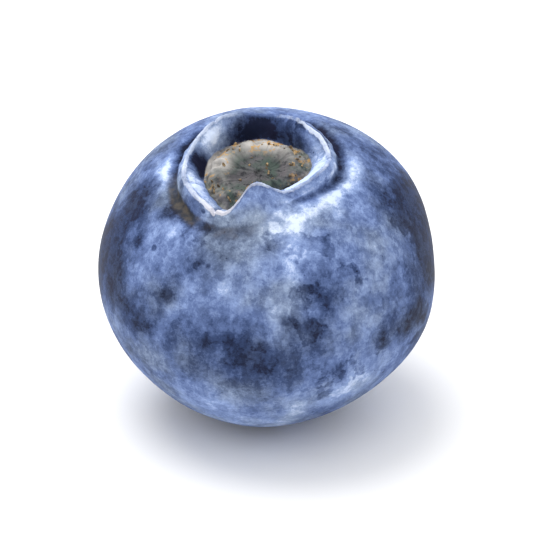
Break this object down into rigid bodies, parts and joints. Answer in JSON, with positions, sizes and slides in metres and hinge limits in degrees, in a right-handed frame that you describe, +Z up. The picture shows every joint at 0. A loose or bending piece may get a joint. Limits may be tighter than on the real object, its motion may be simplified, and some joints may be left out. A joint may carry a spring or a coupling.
{
  "type": "blueberry",
  "caption": "Ripe blueberry with a waxy bloom, a star-shaped calyx crown round a shallow cup and a small stalk scar, resting on its lower side with the crown up and tilted forward.",
  "frame": {"origin": "middle of the small flat spot that the berry rests on", "axes": "+Z straight up from the resting spot; the crown's axis leans 16.5 degrees from +Z towards -Y and 2.8 degrees towards -X"},
  "size_m": [0.0167, 0.0164, 0.0156],
  "materials": {
    "skin": "satin dark blue skin under a pale blue-grey waxy bloom"
  },
  "bodies": {
    "root": {"blueberry": "skin"}
  },
  "joints": []
}
